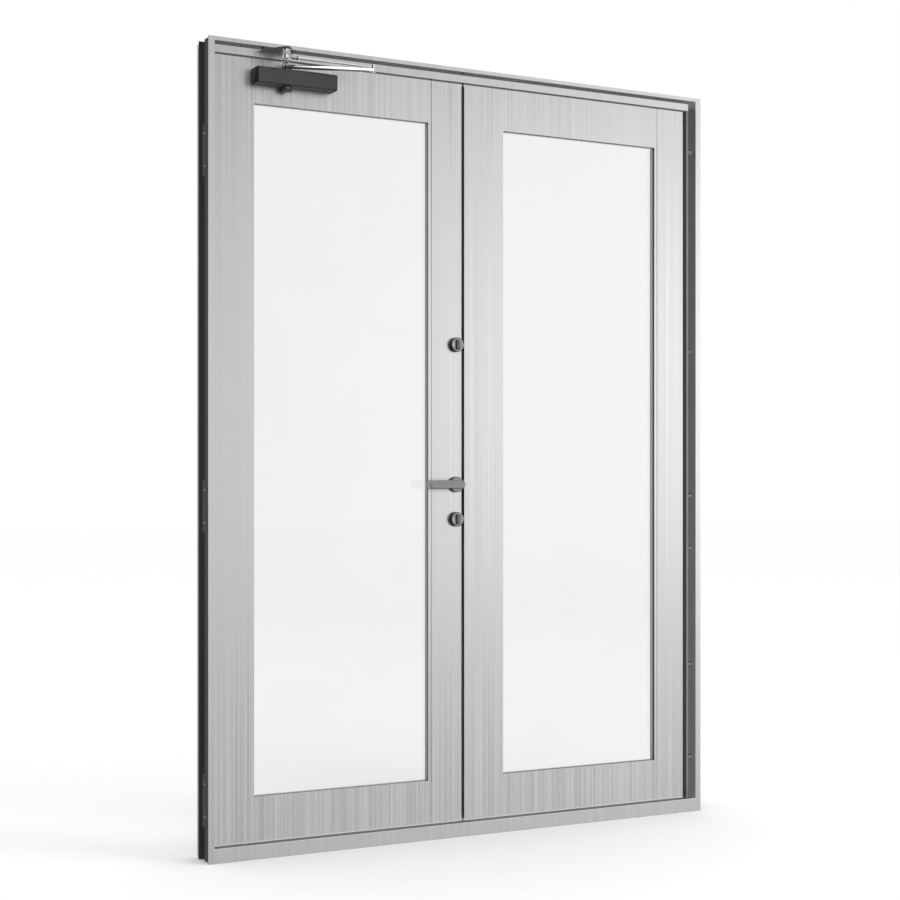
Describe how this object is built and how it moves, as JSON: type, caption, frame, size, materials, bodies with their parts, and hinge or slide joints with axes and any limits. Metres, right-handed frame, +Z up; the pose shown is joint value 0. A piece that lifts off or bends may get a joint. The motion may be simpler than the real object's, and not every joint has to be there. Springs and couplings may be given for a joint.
{
  "type": "double door",
  "caption": "Two-leaf hinged door set in a folded stainless frame, with glazed leaves, lever, lock turns and overhead closer.",
  "frame": {"origin": "underside of the sill, at the middle of the doorway and of the frame's depth", "axes": "+Z up, X across the doorway with the left leaf at -X, +Y towards the side the leaves open to"},
  "size_m": [1.534, 0.1877, 2.1],
  "materials": {
    "brushed_stainless": "vertical brushed stainless sheet",
    "satin_steel": "satin steel furniture",
    "dull_steel": "plain dull steel",
    "grey_seal": "grey sealing profile",
    "dark_gasket": "dark glazing gasket",
    "clear_glass": "clear safety glass",
    "closer_grey": "dark grey enamel",
    "bright_chrome": "bright plated steel"
  },
  "bodies": {
    "frame": {"left_jamb": "brushed_stainless", "right_jamb": "brushed_stainless", "head": "brushed_stainless", "sill": "brushed_stainless", "head_stop": "brushed_stainless", "sill_stop": "grey_seal", "left_jamb_stop": "grey_seal", "right_jamb_stop": "grey_seal", "left_hinge_guards": "dull_steel", "right_hinge_guards": "dull_steel", "left_frame_hinges": "dull_steel", "right_frame_hinges": "dull_steel", "closer_bracket": "closer_grey"},
    "left_leaf": {"left_leaf_left_stile": "brushed_stainless", "left_leaf_right_stile": "brushed_stainless", "left_leaf_inner_strip": "brushed_stainless", "left_leaf_top_rail": "brushed_stainless", "left_leaf_bottom_rail": "brushed_stainless", "left_leaf_glass": "clear_glass", "left_leaf_gasket": "dark_gasket", "left_leaf_glazing_beads": "brushed_stainless", "left_leaf_hinges": "dull_steel", "lever_roses": "satin_steel", "turn_roses": "satin_steel", "rear_key_roses": "satin_steel", "lock_face_plates": "dull_steel", "closer_body": "closer_grey"},
    "right_leaf": {"right_leaf_left_stile": "brushed_stainless", "right_leaf_right_stile": "brushed_stainless", "right_leaf_inner_strip": "brushed_stainless", "right_leaf_top_rail": "brushed_stainless", "right_leaf_bottom_rail": "brushed_stainless", "right_leaf_glass": "clear_glass", "right_leaf_gasket": "dark_gasket", "right_leaf_glazing_beads": "brushed_stainless", "right_leaf_hinges": "dull_steel", "meeting_strip": "brushed_stainless", "strike_plates": "dull_steel"},
    "lever": {"front_lever": "satin_steel", "rear_lever": "satin_steel", "lever_spindle": "satin_steel"},
    "upper_turn": {"upper_lock_turn": "satin_steel"},
    "lower_turn": {"lower_lock_turn": "satin_steel"},
    "closer_arm": {"closer_main_arm": "bright_chrome"},
    "closer_link": {"closer_forearm": "bright_chrome", "closer_stud": "bright_chrome"}
  },
  "joints": [
    {"name": "left_leaf_swing", "type": "hinge", "parent": "frame", "child": "left_leaf", "pos_m": [-0.7485, 0.0575, 0.907], "axis": [0, 0, 1], "range_deg": [0, 90], "stiffness_Nm_per_rad": 12},
    {"name": "right_leaf_swing", "type": "hinge", "parent": "frame", "child": "right_leaf", "pos_m": [0.7485, 0.0575, 0.907], "axis": [0, 0, -1], "range_deg": [0, 90]},
    {"name": "lever_turn", "type": "hinge", "parent": "left_leaf", "child": "lever", "pos_m": [-0.024, 0, 0.962], "axis": [0, -1, 0], "range_deg": [0, 45], "stiffness_Nm_per_rad": 1.5},
    {"name": "upper_turn_spin", "type": "hinge", "parent": "left_leaf", "child": "upper_turn", "pos_m": [-0.024, 0, 1.348], "axis": [0, 1, 0], "range_deg": [0, 90]},
    {"name": "lower_turn_spin", "type": "hinge", "parent": "left_leaf", "child": "lower_turn", "pos_m": [-0.024, 0, 0.866], "axis": [0, 1, 0], "range_deg": [0, 90]},
    {"name": "closer_arm_swing", "type": "hinge", "parent": "left_leaf", "child": "closer_arm", "pos_m": [-0.537, -0.0145, 2.05], "axis": [0, 0, 1], "range_deg": [-110, 0]},
    {"name": "closer_link_swing", "type": "hinge", "parent": "closer_arm", "child": "closer_link", "pos_m": [-0.31908, -0.08321, 2.06], "axis": [0, 0, 1], "range_deg": [0, 85]}
  ],
  "couplings": [
    {"joint": "closer_arm_swing", "follows": "left_leaf_swing", "ratio": -1.1256},
    {"joint": "closer_link_swing", "follows": "left_leaf_swing", "ratio": 0.93886}
  ]
}
